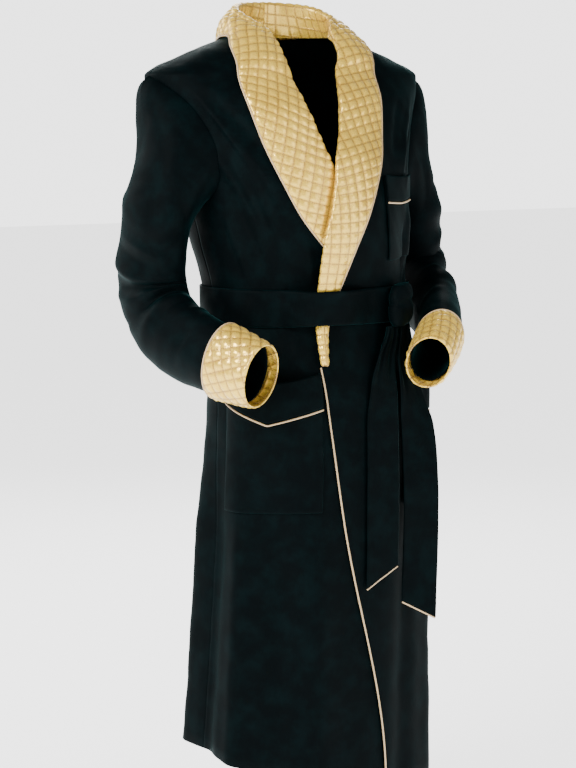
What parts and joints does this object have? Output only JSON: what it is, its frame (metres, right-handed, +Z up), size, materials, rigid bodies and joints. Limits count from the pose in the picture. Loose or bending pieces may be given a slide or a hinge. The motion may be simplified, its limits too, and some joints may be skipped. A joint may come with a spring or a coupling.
{
  "type": "smoking jacket",
  "caption": "Full-length velvet smoking jacket in its worn form, with a quilted satin shawl collar and cuffs, piped edges, patch pockets and a tied belt.",
  "frame": {"origin": "middle between the two points where the shoulder seams meet the neck: there the wearer's shoulders hold the jacket up", "axes": "+Z up, +X towards the wearer's left, -Y towards the front"},
  "size_m": [0.5822, 0.3992, 1.2094],
  "materials": {
    "green_black_velvet": "deep pile velvet",
    "gold_satin": "quilted satin",
    "cream_gold_piping": "satin piping"
  },
  "bodies": {
    "root": {"back": "green_black_velvet", "belt": "green_black_velvet", "belt_knot": "green_black_velvet", "belt_tail_front": "green_black_velvet", "belt_tail_side": "green_black_velvet", "breast_band": "green_black_velvet", "breast_pocket": "green_black_velvet", "collar_left": "gold_satin", "collar_right": "gold_satin", "cuff_left": "gold_satin", "cuff_right": "gold_satin", "front_left": "green_black_velvet", "front_right": "green_black_velvet", "piping_belt_tail_front": "cream_gold_piping", "piping_belt_tail_side": "cream_gold_piping", "piping_breast": "cream_gold_piping", "piping_collar_left": "cream_gold_piping", "piping_collar_right": "cream_gold_piping", "piping_cuff_left": "cream_gold_piping", "piping_cuff_right": "cream_gold_piping", "piping_front": "cream_gold_piping", "piping_pocket_left": "cream_gold_piping", "piping_pocket_right": "cream_gold_piping", "pocket_band_left": "green_black_velvet", "pocket_band_right": "green_black_velvet", "pocket_left": "green_black_velvet", "pocket_right": "green_black_velvet", "sleeve_left": "green_black_velvet", "sleeve_right": "green_black_velvet"}
  },
  "joints": []
}
